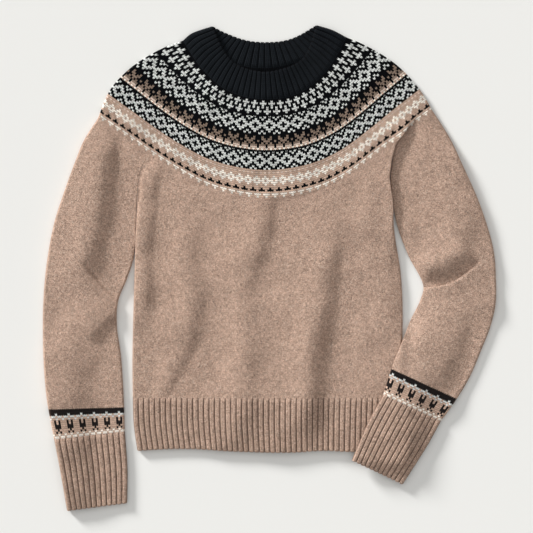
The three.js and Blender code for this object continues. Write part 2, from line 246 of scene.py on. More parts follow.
# %% [markdown]
# ## Creases
#
# Soft wool dents more than it folds. Each crease is placed along a short line with a width
# of its own. A bell is a plain trough or ridge. A step is a slope with a ridge on one side and a
# trough on the other, which the eye reads as a soft dark band. A tuck is cloth that dives below its
# neighbour's edge, and a pull draws that edge over the pocket, so that it stays dark. A little slow
# unevenness lies under them all. The creases live in one function of the place on the table, so
# neighbouring pieces meet at the same height.

# %% Where the creases lie
CREASES = [
    # where the body and the sleeves are fullest
    dict(path=[(-8, 100), (-8, -100), (-8, -300)], width=130, bell=3.8),
    dict(path=[(-225, 230), (-262, 100), (-275, 0), (-285, -90), (-278, -200), (-268, -300)], width=40,
         bell=3.4),
    dict(path=[(225, 230), (256, 100), (275, 10), (284, -40), (270, -100), (235, -180), (214, -230)],
         width=40, bell=3.2),
    # body, from its left side to its right one
    dict(path=[(-163, 172), (-168, 102), (-176, 42), (-180, -48), (-184, -100)], width=13, step=6.4),
    dict(path=[(-124, 110), (-114, 42), (-108, -10), (-104, -60), (-110, -104), (-128, -145), (-142, -172),
               (-160, -220), (-170, -285)], width=16, step=6.4),
    dict(path=[(-52, -10), (-40, -70), (-38, -104), (-40, -168), (-46, -243), (-48, -290)], width=22,
         bell=4.4),
    dict(path=[(17, 124), (7, 102), (1, 57), (-10, 20), (-22, -10), (-30, -60)], width=15, step=6.0),
    dict(path=[(97, 80), (98, 0), (96, -48), (84, -104), (77, -168), (70, -243), (68, -300)], width=15,
         step=6.3),
    dict(path=[(66, -20), (60, -104), (54, -168), (50, -260)], width=18, bell=3.0),
    dict(path=[(150, 160), (150, 100), (146, 40), (140, -20)], width=18, bell=2.6),
    dict(path=[(184, 60), (188, 0), (192, -60), (194, -120)], width=10, step=2.6),
    # the right sleeve dives below the body's edge
    dict(path=[(226, 232), (204, 203), (188, 175), (182, 150), (181, 132), (186, 100), (191, 60)], width=18,
         tuck=8.0, pull=3.5),
    dict(path=[(192, 30), (188, 80), (183, 132), (184, 155), (190, 178), (204, 203), (226, 232)], width=30,
         tuck=-8.0),
    # left sleeve
    dict(path=[(-225, 226), (-235, 162), (-240, 102), (-253, 42), (-257, 4), (-250, -46)], width=19,
         step=10.5),
    dict(path=[(-176, 172), (-190, 102), (-199, 50), (-206, 10)], width=20, bell=3.4),
    dict(path=[(-208, -20), (-201, 55), (-196, 105), (-189, 150), (-170, 184)], width=13, tuck=4.4, pull=1.5),
    dict(path=[(-284, 14), (-265, -10), (-250, -27), (-235, -42), (-214, -66)], width=15, tuck=5.0, pull=1.6),
    dict(path=[(-222, -68), (-242, -90), (-263, -117)], width=12, step=6.0),
    dict(path=[(-235, -104), (-226, -153), (-220, -215)], width=12, step=5.0),
    dict(path=[(-284, -80), (-278, -180), (-272, -260), (-262, -380)], width=40, step=12.0),
    # right sleeve
    dict(path=[(262, 210), (290, 110), (306, 20)], width=36, bell=4.6),
    dict(path=[(229, 112), (221, 88), (229, 62)], width=14, bell=-1.8),
    dict(path=[(216, -6), (236, 0), (262, 8), (306, 34)], width=22, bell=8.4),
    dict(path=[(218, -32), (236, -29), (250, -27), (270, -23), (284, -15), (298, -5), (320, 14)], width=16,
         tuck=10.0, pull=4.0),
    dict(path=[(303, -48), (298, -78), (286, -115), (277, -146), (262, -200)], width=18, step=5.2),
]
STEP_REACH = 3.0  # how many widths away a step has faded out
LIP = 2.0  # how soon the cloth beside a tuck is back at its height
SLACK = 4.0  # over which the pull of a tuck grows, beside its line
SLACK_FADE = 3.0  # how many times that far away it has faded out
END_FADE = 0.22  # share of a crease in which each end fades
MARKS = 25  # points along a crease
UNEVEN = table("angle length height", [
    (20, 96, 0.45), (75, 71, 0.4), (140, 58, 0.35), (165, 83, 0.4),
    (50, 41, 0.2), (110, 36, 0.16), (5, 29, 0.12),
])


class Crease:
    """One crease, placed by a line on the table."""

    def __init__(self, path, width, bell=0, step=0, tuck=0, pull=0):
        self.marks = np.linspace(0, 1, MARKS)
        self.line = Line(*np.array(path, float).T).along(self.marks)
        self.width, self.bell, self.step, self.tuck, self.pull = width, bell, step, tuck, pull

    def measure(self, x, y):
        """The distance from the line, above 0 on its left, how much the ends have faded, and its left."""
        near = np.full(x.shape, np.inf)
        signed, place, left = np.zeros(x.shape), np.zeros(x.shape), np.zeros((2, *x.shape))
        for mark, start, end in zip(self.marks, self.line[:-1], self.line[1:]):
            run = end - start
            rx, ry = x - start[0], y - start[1]
            share = clamp((rx * run[0] + ry * run[1]) / (run @ run))
            distance = np.hypot(rx - share * run[0], ry - share * run[1])
            closer = distance < near
            signed = np.where(closer, np.sign(run[0] * ry - run[1] * rx) * distance, signed)
            place = np.where(closer, mark + share * self.marks[1], place)
            for axis, part in enumerate((-run[1], run[0])):
                left[axis] = np.where(closer, part / np.hypot(*run), left[axis])
            near = np.minimum(distance, near)
        return signed, smooth(place / END_FADE) * smooth((1 - place) / END_FADE), left

    def height(self, x, y):
        """How far the crease lifts the cloth."""
        signed, ends, _ = self.measure(x, y)
        reach = signed / self.width
        slope = np.tanh(reach) * np.exp(-(reach / STEP_REACH) ** 2)
        under = np.exp(-np.abs(signed) / np.where(signed > 0, self.width, LIP))
        return ends * (self.bell * np.exp(-reach ** 2) - self.step * slope - self.tuck * under)

    def shift(self, x, y):
        """How far the cloth beside a tuck is pulled over it, so that its lip hangs over the pocket."""
        signed, ends, left = self.measure(x, y)
        beside = -signed / SLACK
        share = np.where(beside < 1, clamp(beside), np.exp(-((beside - 1) / SLACK_FADE) ** 2))
        return ends * self.pull * left * share


creases = [Crease(**crease) for crease in CREASES]


def relief(x, y):
    """How far the upper layer stands above its flat height, with a soft end at the deepest."""
    height = np.full(x.shape, LOFT)
    for crease in creases:
        height += crease.height(x, y)
    for angle, length, rise in zip(UNEVEN["angle"], UNEVEN["length"], UNEVEN["height"]):
        turned = x * math.cos(math.radians(angle)) + y * math.sin(math.radians(angle))
        height += rise * np.sin(2 * math.pi * turned / length + angle)
    return np.logaddexp(2 * (height - DEEPEST), 0) / 2 + DEEPEST


def pulled(x, y, share):
    """Where points lie once every tuck has drawn the cloth beside it over its pocket."""
    for crease in creases:
        if crease.pull:
            over_x, over_y = crease.shift(x, y) * share
            x, y = x + over_x, y + over_y
    return x, y


# The lower end of the right sleeve climbs onto the body's edge and lies on the ribs of the hem
CLIMB = dict(height=LIE + LOFT + RIB_HEIGHT + 1.8, body_edge=194, run=24, full_run=84, start_y=-62,
             full_y=-104, hem_edge=-284, hem_run=36)


def climb(x, y, fullness):
    """The height of the sleeve's underside, and a gentler rise of its upper layer between the folds."""
    sides = [smooth((CLIMB["body_edge"] + run - x) / run) for run in (CLIMB["run"], CLIMB["full_run"])]
    return (CLIMB["height"]
            * between(*sides, fullness)
            * smooth((y - CLIMB["hem_edge"] + CLIMB["hem_run"]) / CLIMB["hem_run"])
            * smooth((CLIMB["start_y"] - y) / (CLIMB["start_y"] - CLIMB["full_y"])))


print(len(CREASES), "creases")

# %% [markdown]
# ## A knitted wall
#
# Every piece is a wall with an outer and an inner skin. A flat grid for each skin, one above the
# other, is joined along its open edges while it is still flat, where the matching corners are
# plainly the nearest ones. Then each point moves to its place: across the flat, or round the turn of
# a side fold. A tube's first and last columns land on each other and are welded. Solidify would be
# shorter, but the turns are tighter than the wall is thick, and its inner skin would cross itself.

# %% Columns of a section
TURN_STEPS = 12


def turn_columns(layer, side):
    """The columns that turn with a side fold, from its edge inwards."""
    angles = np.radians(np.linspace(0, 90, TURN_STEPS + 1))
    return [dict(layer=layer, side=side, turn=angle, share=0.0) for angle in angles]


def layer_columns(layer, width, step=STEP):
    """The columns of one layer from its left fold to its right one."""
    count = round(width / step)
    flat = [dict(layer=layer, side=0, turn=0.0, share=i / count) for i in range(1, count)]
    return turn_columns(layer, -1) + flat + turn_columns(layer, 1)[::-1]


def tube_columns(above, below):
    """Over the top from left to right and back underneath, ending on the first column again."""
    return above + below[::-1][1:]


def even_rows(length, step=STEP):
    """Shares down a piece at which its rows of points lie."""
    return np.linspace(0, 1, round(length / step) + 1)


def rimmed_rows(length, step=STEP):
    """Even rows with a few closer ones at the bottom, where the edge is rounded."""
    rim = 1 - np.array([2.2, 1.3, 0.6, 0.2, 0]) / length
    rows = even_rows(length, step)
    return np.concatenate([rows[rows < rim[0] - 0.5 * step / length], rim])


print(len(even_rows(100)), "rows of points on 100 mm of knitting")

# %% Places of the points
class Piece:
    """The form of one knitted piece, in plan and in height."""

    GROOVE = 12  # a higher power makes the groove between two ribs narrower
    RIB_START = 5.0  # length in which the ribs rise from the seam
    SCALLOP = 1.2  # how far a groove draws in at the free edge
    RIM = 2.2  # how far from the free edge its rounding starts
    RIM_HALF = 0.15  # half the thickness that is left at the very edge

    def __init__(self, above, below, length, turn=(TURN, TURN), gap=(0, 0), depth=None, lift=None,
                 stand=None, ribs=None, stitches=(1, 1), start=0, rows=1, plain_inside=False):
        """A piece with a plain inside counts as its first row there, which the chart leaves plain."""
        self.above, self.below, self.length = above, below, length
        self.turn, self.gap = turn, gap
        self.depth = depth or (lambda side, down: np.ones_like(down))
        self.lift, self.stand = lift, stand
        self.ribs = ribs
        self.stitches, self.start, self.rows = stitches, start, rows
        self.plain_inside = plain_inside

    def progress(self, down):
        """The share of the middle line's length that lies above a row."""
        rows = np.linspace(0, 1, 200)
        steps = np.linalg.norm(np.diff(self.above.at(rows, 0.5), axis=0), axis=1)
        run = np.concatenate([[0], np.cumsum(steps)])
        return np.interp(down, rows, run / run[-1])

    def places(self, rows, columns):
        """The points of both skins and their count of stitches and rows."""
        both = {key: np.array([column[key] for column in columns]) for key in columns[0]}
        points = np.zeros((2, len(rows), len(columns), 3))
        knit = np.zeros((2, len(rows), len(columns), 2))
        knit[..., 1] = (self.progress(rows) * self.rows)[:, None]
        if self.plain_inside:
            knit[1, :-1, :, 1] = 0
        for layer, plan in ((1, self.above), (-1, self.below)):
            at = np.nonzero(both["layer"] == layer)[0]
            if not len(at):
                continue
            part = {key: both[key][at] for key in both}
            down = rows[:, None] * np.ones(len(at))
            width = plan.length(rows)[:, None]
            folded, reach, half = self.fold(part["side"], down)
            rise = 1 - folded * (1 - np.sin(part["turn"])) * (part["side"] != 0)
            for skin, inward in enumerate((0, WALL)):
                flat = between(self.turn[0], width - self.turn[1], part["share"]) / width
                start = inward * folded
                inset = (start + (reach - start) * (1 - np.cos(part["turn"]))) / width
                across = np.where(part["side"] == 0, flat, np.where(part["side"] < 0, inset, 1 - inset))
                rib = self.rib(layer, across)
                plan_points = plan.at(down - self.scallop(down, rib), across)
                x, y = plan_points[..., 0], plan_points[..., 1]
                z = HALF + layer * (half + (HALF - inward - half) * rise)
                if self.lift:
                    z = z + self.lift(x, y, smooth(4 * across * (1 - across)) * (layer > 0))
                if layer > 0:
                    z = z + (self.stand(x, y, down) if self.stand else relief(x, y)) * rise
                if (skin == 0) == (layer > 0):
                    z = z + rib * RIB_HEIGHT * smooth(down * self.length / self.RIB_START) * rise
                z = z + self.rounding(down) * (1 if (skin == 0) == (layer < 0) else -1)
                if layer > 0:
                    x, y = pulled(x, y, rise)
                points[skin][:, at] = np.stack([x, y, z], axis=-1)
                counts = self.start + across * self.stitches[0]
                if layer < 0:
                    counts = self.start + self.stitches[0] + (1 - across) * self.stitches[1]
                knit[skin][:, at, 0] = counts
        return points, knit

    def fold(self, side, down):
        """How far a side fold has closed, how far in it reaches and half its gap."""
        folded = np.where(side < 0, self.depth(-1, down), self.depth(1, down))
        reach = np.where(side < 0, self.turn[0], self.turn[1])
        half = np.where(side < 0, self.gap[0], self.gap[1]) / 2 * (side != 0)
        return folded, reach, half

    def rib(self, layer, across):
        """The height of the ribs over a layer, from 0 in a groove to 1."""
        count = self.ribs[0 if layer > 0 else 1] if self.ribs else 0
        if not count:
            return np.zeros_like(across)
        return 1 - np.abs(np.cos(np.pi * across * count)) ** self.GROOVE

    def scallop(self, down, rib):
        """The share of the piece's length by which a groove is shorter than a rib."""
        if not self.ribs:
            return 0
        near = smooth(1 - (1 - down) * self.length / self.RIB_START)
        return (1 - rib) * self.SCALLOP / self.length * near

    def rounding(self, down):
        """How far each skin draws in at a rounded free edge."""
        if not self.ribs:
            return np.zeros_like(down)
        near = clamp(1 - (1 - down) * self.length / self.RIM)
        return (WALL / 2 - self.RIM_HALF) * (1 - np.sqrt(1 - near ** 2))


# %% The middle of the garment
outer_left = Line(SLEEVE_LEFT_SIDES["left_x"], SLEEVE_LEFT_SIDES["left_y"]).at(np.linspace(0, 1, 400))
outer_right = Line(SLEEVE_RIGHT_SIDES["right_x"], SLEEVE_RIGHT_SIDES["right_y"]).at(np.linspace(0, 1, 400))
middle_x = (outer_left[:, 0].min() + outer_right[:, 0].max()) / 2
print(f"the garment's middle is at x = {middle_x:.2f} mm in the tables")

# %% Meshes
SHARP = math.radians(55)  # an edge that turns by more isn't shaded smooth
APART = 0.001  # how far below the outer skin's grid the inner one starts
WELD = 2e-6
NEAR_END = 1 - 1e-4  # a point of a flat grid beyond this lies in its first or last row


def two_skins(column_count, row_count, ring):
    """Two flat grids, one above the other, joined along the edges that stay open."""
    work = bmesh.new()
    for level in (0.0, -APART):
        bmesh.ops.create_grid(work, x_segments=column_count - 1, y_segments=row_count - 1, size=1.0,
                              matrix=Matrix.Translation((0, 0, level)))
    rims = [edge for edge in work.edges if edge.is_boundary]
    if not ring:
        bmesh.ops.bridge_loops(work, edges=rims)
        return work
    for end in (1, -1):
        row = [edge for edge in rims if all(vert.co.y * end > NEAR_END for vert in edge.verts)]
        bmesh.ops.bridge_loops(work, edges=row)
    return work


def knitted(name, piece, rows, columns, ring):
    """A named object with the form of a piece, its stitch count in the UV map."""
    points, knit = piece.places(rows, columns)
    points[..., 0] -= middle_x
    if ring:
        points[:, :, -1] = points[:, :, 0]  # a tube ends on its first column, inside as well
    mesh = bpy.data.meshes.new(name)
    work = two_skins(len(columns), len(rows), ring)
    work.to_mesh(mesh)
    work.free()
    flat = np.zeros(len(mesh.vertices) * 3)
    mesh.vertices.foreach_get("co", flat)
    flat = flat.reshape(-1, 3)
    column = np.rint((flat[:, 0] + 1) / 2 * (len(columns) - 1)).astype(int)
    row = np.rint((1 - flat[:, 1]) / 2 * (len(rows) - 1)).astype(int)
    skin = (flat[:, 2] < -APART / 2).astype(int)
    mesh.vertices.foreach_set("co", (points[skin, row, column] * METRE).ravel())
    corner = np.zeros(len(mesh.loops), int)
    mesh.loops.foreach_get("vertex_index", corner)
    stitch_map = mesh.uv_layers.new(name="stitches")
    stitch_map.uv.foreach_set("vector", knit[skin, row, column][corner].ravel())
    work = bmesh.new()
    work.from_mesh(mesh)
    if ring:
        bmesh.ops.remove_doubles(work, verts=work.verts, dist=WELD)
    bmesh.ops.recalc_face_normals(work, faces=work.faces)
    for face in work.faces:
        face.smooth = True
    for edge in work.edges:
        edge.smooth = edge.calc_face_angle(0) < SHARP
    work.to_mesh(mesh)
    print(f"{name}: {len(work.faces)} faces, {sum(edge.is_boundary for edge in work.edges)} open edges")
    work.free()
    made = bpy.data.objects.new(name, mesh)
    bpy.context.scene.collection.objects.link(made)
    return made


# %% [markdown]
# ## The yoke
#
# The yoke is knitted in the round, with more stitches in each band than in the one above, so it is
# one tube. On the table it is a wide crescent in front and a narrower one behind, and its lower line
# is where the body and the sleeves begin. Fifty rows of knitting run down it.

# %% Yoke
YOKE_ROWS = 50
YOKE_FRONT_WIDTH, YOKE_BACK_WIDTH, YOKE_DEPTH = 560, 540, 165  # for the spacing of its mesh
yoke_edge = {key: Line(YOKE_EDGE["x"], YOKE_EDGE[key]) for key in ("front", "back")}


def build_yoke():
    piece = Piece(
        above=Patch(neck_line, yoke_edge["front"], YOKE_SIDES, even=True),
        below=Patch(Line(NECK_BASE_BACK["x"], NECK_BASE_BACK["y"]), yoke_edge["back"], YOKE_SIDES, even=True),
        length=YOKE_DEPTH,
        rows=YOKE_ROWS,
        plain_inside=True,
    )
    columns = tube_columns(layer_columns(1, YOKE_FRONT_WIDTH), layer_columns(-1, YOKE_BACK_WIDTH, BACK_STEP))
    return knitted("yoke_knit", piece, even_rows(YOKE_DEPTH), columns, ring=True)


yoke = build_yoke()

# %% [markdown]
# ## Front and back
#
# The body is a plain tube in real knitting. Lying flat it is a front and a back that meet in a fold
# at each side, and beside each sleeve the fold deepens from nothing at the yoke. Both panels take
# their upper line from the yoke, so they hang from the same points.

# %% Front and back
BODY_WIDTH, BODY_DEPTH, BODY_STITCHES, BODY_ROWS = 385, 345, 125, 105
FOLD_ROWS = {-1: (4.1, 5.0), 1: (0.0, 1.4)}  # rows of the side tables in which each side's fold deepens


def armhole_fold(side, row):
    """How far the fold beside a sleeve has closed."""
    start, end = FOLD_ROWS[side]
    return smooth((row - start) / (end - start))


def sides_from(line, sides):
    """A piece's side rows with the ends of its top line put before them."""
    start, end = line.at(0), line.at(1)
    first = dict(left_x=start[0], left_y=start[1], right_x=end[0], right_y=end[1])
    return {key: np.concatenate([[first[key]], sides[key]]) for key in sides}


def armholes(line):
    """The shares of the yoke's lower line at which the body ends on the left and the right."""
    return [line.share_at_x(x) for x in ARMHOLES]


def build_body(name, layer, step):
    line = yoke_edge[name]
    top = line.stretch(*armholes(line))
    sides = sides_from(top, BODY_SIDES)
    plan = Patch(top, straight(sides, -1), sides)
    piece = Piece(plan, plan, length=BODY_DEPTH, gap=(SEAM, SEAM),
                  depth=lambda side, down: armhole_fold(side, down * len(BODY_SIDES["left_x"])),
                  stitches=(BODY_STITCHES, BODY_STITCHES), rows=BODY_ROWS)
    columns = layer_columns(layer, BODY_WIDTH, step)
    return knitted(f"{name}_knit", piece, even_rows(BODY_DEPTH, step), columns, ring=False)


front = build_body("front", 1, STEP)
back = build_body("back", -1, BACK_STEP)

# %% [markdown]
# ## Sleeves
#
# A sleeve is knitted down from the yoke and narrows towards the cuff. It is one strip, from the
# underarm over the upper layer, round the outer fold and back below. The right sleeve's lower end
# lies on the body's edge, so it climbs there. Its last thirteen rows hold a patterned band.

# %% Sleeves
SLEEVE_ROWS = 150
SLEEVE_WIDTH, SLEEVE_LENGTH = 105, 450  # for the spacing of its mesh


def build_sleeve(name, seam_side, sides, stitches, start, lift=None):
    plans = []
    for layer in ("front", "back"):
        line = yoke_edge[layer]
        left, right = armholes(line)
        top = line.stretch(0, left) if seam_side > 0 else line.stretch(right, 1)
        joined = sides_from(top, sides)
        plans.append(Patch(top, straight(joined, -1), joined))
    piece = Piece(
        *plans,
        length=SLEEVE_LENGTH,
        turn=(CREASE_TURN if seam_side < 0 else TURN, TURN),
        gap=(0, SEAM) if seam_side > 0 else (SEAM, 0),
        depth=lambda side, down: (armhole_fold(-seam_side, down * len(sides["left_x"])) if side == seam_side
                                  else np.ones_like(down)),
        lift=lift,
        stitches=stitches,
        start=start,
        rows=SLEEVE_ROWS,
    )
    upper = layer_columns(1, SLEEVE_WIDTH)
    lower = layer_columns(-1, SLEEVE_WIDTH, BACK_STEP)
    if seam_side > 0:
        upper.reverse()
    else:
        lower.reverse()
    return knitted(f"{name}_knit", piece, even_rows(SLEEVE_LENGTH), upper + lower[1:], ring=False)


sleeve_left = build_sleeve("sleeve_left", 1, SLEEVE_LEFT_SIDES, (36, 36), start=3)
sleeve_right = build_sleeve("sleeve_right", -1, SLEEVE_RIGHT_SIDES, (34, 32), start=5, lift=climb)

# %% [markdown]
# ## Ribs
#
# The hem, the cuffs and the neckband are knitted in rib: two stitches forward, two back. The forward
# pairs stand up as rounded cords with a narrow groove between them. On the hem and cuffs they are
# raised on the upper side. The neckband shows its outside in front and its inside behind, so there
# the inner skin of the lower layer has them.

# %% Hem band and cuffs
RIB_POINTS = 10
HEM_DEPTH, CUFF_DEPTH, NECK_DEPTH, NECK_ROWS = 80, 108, 42, 14
NECK_STEP = 2


def build_rib(name, sides, ribs, length, edge, lift=None):
    plan = Patch(straight(sides, 0), edge, sides)
    piece = Piece(plan, plan, length=length, lift=lift, ribs=(ribs, 0), stitches=(2 * ribs, 2 * ribs),
                  rows=round(length / ROW))
    width = plan.top.length
    columns = tube_columns(layer_columns(1, width, width / ribs / RIB_POINTS),
                           layer_columns(-1, width, BACK_STEP))
    return knitted(name, piece, rimmed_rows(length), columns, ring=True)


cuff_ends = dict(left=straight(CUFF_LEFT_SIDES, -1), right=straight(CUFF_RIGHT_SIDES, -1))
hem_band = build_rib("hem_rib", HEM_SIDES, HEM_RIBS, HEM_DEPTH, Line(HEM_EDGE["x"], HEM_EDGE["y"]))
cuff_left = build_rib("cuff_left_rib", CUFF_LEFT_SIDES, CUFF_RIBS, CUFF_DEPTH, cuff_ends["left"])
cuff_right = build_rib("cuff_right_rib", CUFF_RIGHT_SIDES, CUFF_RIBS, CUFF_DEPTH, cuff_ends["right"], climb)

# %% Neckband


def build_neckband():
    piece = Piece(
        above=Patch(neck_line, Line(NECK_TOP_FRONT["x"], NECK_TOP_FRONT["y"]), NECK_SIDES, spread=8),
        below=Patch(Line(NECK_BASE_BACK["x"], NECK_BASE_BACK["y"]),
                    Line(NECK_TOP_BACK["x"], NECK_TOP_BACK["y"]), NECK_SIDES, spread=8),
        length=NECK_DEPTH,
        stand=lambda x, y, down: relief(x, y) + NECK_STAND * down,
        ribs=(NECK_FRONT_RIBS, NECK_BACK_RIBS),
        stitches=(2 * NECK_FRONT_RIBS, 2 * NECK_BACK_RIBS),
        rows=NECK_ROWS,
    )
    columns = tube_columns(layer_columns(1, NECK_FRONT_RIBS, 1 / RIB_POINTS),
                           layer_columns(-1, NECK_BACK_RIBS, 1 / RIB_POINTS))
    return knitted("neckband_rib", piece, rimmed_rows(NECK_DEPTH, NECK_STEP), columns, ring=True)


neckband = build_neckband()

# %% [markdown]
# ## Shader sums
#
# A material is a small sum over each point of the wool. Written as nodes it is hard to read, so one
# class stands for a node's output and takes part in Python sums, and one method adds any node.

# %% Sockets that take part in sums


class Socket:
    """One output in a material's nodes, used in sums as a number is."""

    def __init__(self, finish, output):
        self.finish, self.output = finish, output

    def maths(self, operation, *others, turned=False):
        terms = [self, *others][::-1] if turned else [self, *others]
        return self.finish.node("ShaderNodeMath", dict(operation=operation), dict(enumerate(terms)))

    def __add__(self, other):
        return self.maths("ADD", other)

    def __sub__(self, other):
        return self.maths("SUBTRACT", other)

    def __rsub__(self, other):
        return self.maths("SUBTRACT", other, turned=True)

    def __mul__(self, other):
        return self.maths("MULTIPLY", other)

    def __truediv__(self, other):
        return self.maths("DIVIDE", other)

    def __rpow__(self, other):
        return self.maths("POWER", other, turned=True)

    def __mod__(self, other):
        return self.maths("FLOORED_MODULO", other)

    def __gt__(self, other):
        return self.maths("GREATER_THAN", other)

    def __abs__(self):
        return self.maths("ABSOLUTE")

    __radd__ = __add__
    __rmul__ = __mul__

    def beside(self, index):
        """Another output of the same node."""
        return Socket(self.finish, self.output.node.outputs[index])

    def floor(self):
        return self.maths("FLOOR")

    def fract(self):
        return self.maths("FRACT")

    def at_most(self, other):
        return self.maths("MINIMUM", other)


class Finish:
    """A material, and the one method that adds a node to it."""

    def __init__(self, name):
        self.material = bpy.data.materials.new(name)
        self.material.use_nodes = True
        self.tree = self.material.node_tree
        self.tree.nodes.clear()

    def node(self, kind, settings=None, values=None, output=0):
        made = self.tree.nodes.new(kind)
        for key, value in (settings or {}).items():
            if key == "stops":
                self.set_stops(made.color_ramp, value)
            else:
                setattr(made, key, value)
        for key, value in (values or {}).items():
            if isinstance(value, Socket):
                self.tree.links.new(value.output, made.inputs[key])
            else:
                made.inputs[key].default_value = value
        return Socket(self, made.outputs[output]) if made.outputs else None

    @staticmethod
    def set_stops(ramp, stops):
        """A table with one colour for each of its equal steps."""
        ramp.interpolation = "CONSTANT"
        ramp.elements.remove(ramp.elements[1])
        ramp.elements[0].color = (*stops[0], 1)
        for i, colour in enumerate(stops[1:], start=1):
            ramp.elements.new(i / len(stops)).color = (*colour, 1)

    def blend(self, share, first, second, way="MIX"):
        """Two colours mixed: 6 and 7 are the Mix node's colour inputs, and 2 its colour output."""
        return self.node("ShaderNodeMix", dict(data_type="RGBA", blend_type=way),
                         {0: share, 6: first, 7: second}, output=2)

    def toned(self, colour, tone):
        """A colour made lighter or darker by a number."""
        grey = self.node("ShaderNodeCombineXYZ", None, {0: tone, 1: tone, 2: tone})
        return self.blend(1.0, colour, grey, "MULTIPLY")

    def ramp(self, value, start, end, low=0.0, high=1.0):
        return self.node("ShaderNodeMapRange", None, {"Value": value, "From Min": start, "From Max": end,
                                                      "To Min": low, "To Max": high})

    def noise(self, size, detail=2, rough=0.5):
        """Noise with features of this size in millimetres."""
        place = self.node("ShaderNodeTexCoord", output="Object")
        return self.node("ShaderNodeTexNoise", None,
                         {"Vector": place, "Scale": 1 / (size * METRE), "Detail": detail, "Roughness": rough})


# %% [markdown]
# ## Stitches
#
# Stocking stitch is columns of little Vs. The UV map counts stitches across and rows down, so the
# fractions of both say where a point lies in its stitch. The two legs of a V rise outwards, which
# shifts the rows by up to half a row, and everything that follows rows uses the shifted count: the
# relief of the yarn and the colour of a charted stitch alike.

# %% Stitches


def srgb(*levels):
    """A screen colour, in levels from 0 to 255, as the linear colour that a shader takes."""
    shares = [level / 255 for level in levels]
    return tuple(s / 12.92 if s <= 0.04045 else ((s + 0.055) / 1.055) ** 2.4 for s in shares)


LIGHT_ON_FLOOR = 1.07  # how bright the light makes a white surface, so that colours can be read off
V_RISE = 0.5  # how many rows the legs of a V rise
FUZZ_SIZE = 1.2
SHEEN_TINT = (0.8, 0.5, 0.36, 1.0)
LEG_END = 0.6  # how far a leg of yarn thins where the next one covers it


def wool_colour(*levels):
    return tuple(value / LIGHT_ON_FLOOR for value in srgb(*levels))


class Stitches:
    """Where a point lies in the knitting: which stitch, which row, and how far into both."""

    def __init__(self, finish, across_map=None):
        self.finish = finish
        place = finish.node("ShaderNodeUVMap", dict(uv_map="stitches"))
        self.u = finish.node("ShaderNodeSeparateXYZ", None, {0: place})
        self.v = self.u.beside(1)
        self.across = across_map(self) if across_map else self.u
        self.leg = abs(self.across.fract() * 2 - 1)
        self.down = self.v + self.leg * V_RISE
        self.stitch = self.across.floor()
        self.row = self.down.floor()

    def relief(self):
        """The height of the yarn, from 0 to 1: two rounded legs in each stitch."""
        over = self.leg * 2 - 1
        along = self.down.fract() * 2 - 1
        return (1 - over * over) * (1 - along * along * LEG_END)

    def shade(self):
        """A number between 0 and 1 for each stitch, because no two have the same tone."""
        place = self.finish.node("ShaderNodeCombineXYZ", None, {0: self.stitch, 1: self.row})
        return self.finish.node("ShaderNodeTexWhiteNoise", dict(noise_dimensions="2D"), {"Vector": place})


def fuzzy(finish, stitches, yarn=0.5, fuzz=0.5):
    """The height of the wool: its yarn and the loose fibres over it."""
    return stitches.relief() * yarn + finish.noise(FUZZ_SIZE, 3, 0.7) * fuzz


def dress(finish, colour, height, sheen, gloss=0.15, rough=0.9):
    """The wool's shader: rough, with a soft sheen from the loose fibres on its surface."""
    bump = finish.node("ShaderNodeBump", None, {"Strength": 1.0, "Distance": METRE, "Height": height})
    shader = finish.node("ShaderNodeBsdfPrincipled", None, {
        "Base Color": colour, "Normal": bump, "Roughness": rough, "Specular IOR Level": gloss,
        "Sheen Weight": sheen, "Sheen Roughness": 0.5, "Sheen Tint": SHEEN_TINT,
    })
    finish.node("ShaderNodeOutputMaterial", None, {"Surface": shader})
    return finish.material


# %% [markdown]
# ## Heather yarn
#
# The beige yarn is spun from fibres of several tones, so each stitch differs from the next and light
# and dark flecks run through it. Its tone is a sum of three parts, one for each stitch, a fine noise
# for the fibres and a slow one for the change along a ball of yarn. The flecks are laid over it.

# %% Heather yarn
BEIGE = wool_colour(179, 150, 132)
FLECK_LIGHT = wool_colour(236, 216, 198)
FLECK_DARK = wool_colour(104, 78, 64)
FLECK_SHARE = 0.6
TONES = dict(stitch=0.4, fibre=3.7, ball=0.16, even=-1.1)  # how much each part of the tone counts
FIBRE_SIZE, BALL_SIZE, LIGHT_SIZE, DARK_SIZE = 0.9, 60, 1.2, 1.3
HEATHER_SHEEN = 0.3


def heather(finish, stitches, ground):
    """The ground colour with the tones and flecks of a marled yarn."""
    fibres = finish.noise(FIBRE_SIZE, 1, 0.8) * TONES["fibre"]
    slow = finish.noise(BALL_SIZE) * TONES["ball"]
    mottled = finish.toned(ground, stitches.shade() * TONES["stitch"] + fibres + slow + TONES["even"])
    light = finish.ramp(finish.noise(LIGHT_SIZE, 1, 0.6), 0.56, 0.68)
    dark = finish.ramp(finish.noise(DARK_SIZE, 1, 0.6), 0.55, 0.68)
    flecked = finish.blend(light * FLECK_SHARE, mottled, (*FLECK_LIGHT, 1))
    return finish.blend(dark * FLECK_SHARE, flecked, (*FLECK_DARK, 1))


print("beige:", [round(value, 3) for value in BEIGE])

# %% Plain and ribbed wool
GROOVE_SHADE_EDGE = (0.7, 0.98)  # from the middle of a cord at 0 to the groove at 1, where the painted shade darkens it
CORD_TONE = 0.94


def groove_shaded(finish, stitches, colour, depth):
    """A rib's colour with painted shade in its grooves, which the count of stitches places; depth says how
    dark that painted shade gets.
    """
    edge = abs((stitches.u / 2).fract() * 2 - 1)
    return finish.toned(colour, finish.ramp(edge, *GROOVE_SHADE_EDGE, CORD_TONE, CORD_TONE - depth))


def heather_wool():
    finish = Finish("heather_wool")
    stitches = Stitches(finish)
    return dress(finish, heather(finish, stitches, (*BEIGE, 1)), fuzzy(finish, stitches), HEATHER_SHEEN)


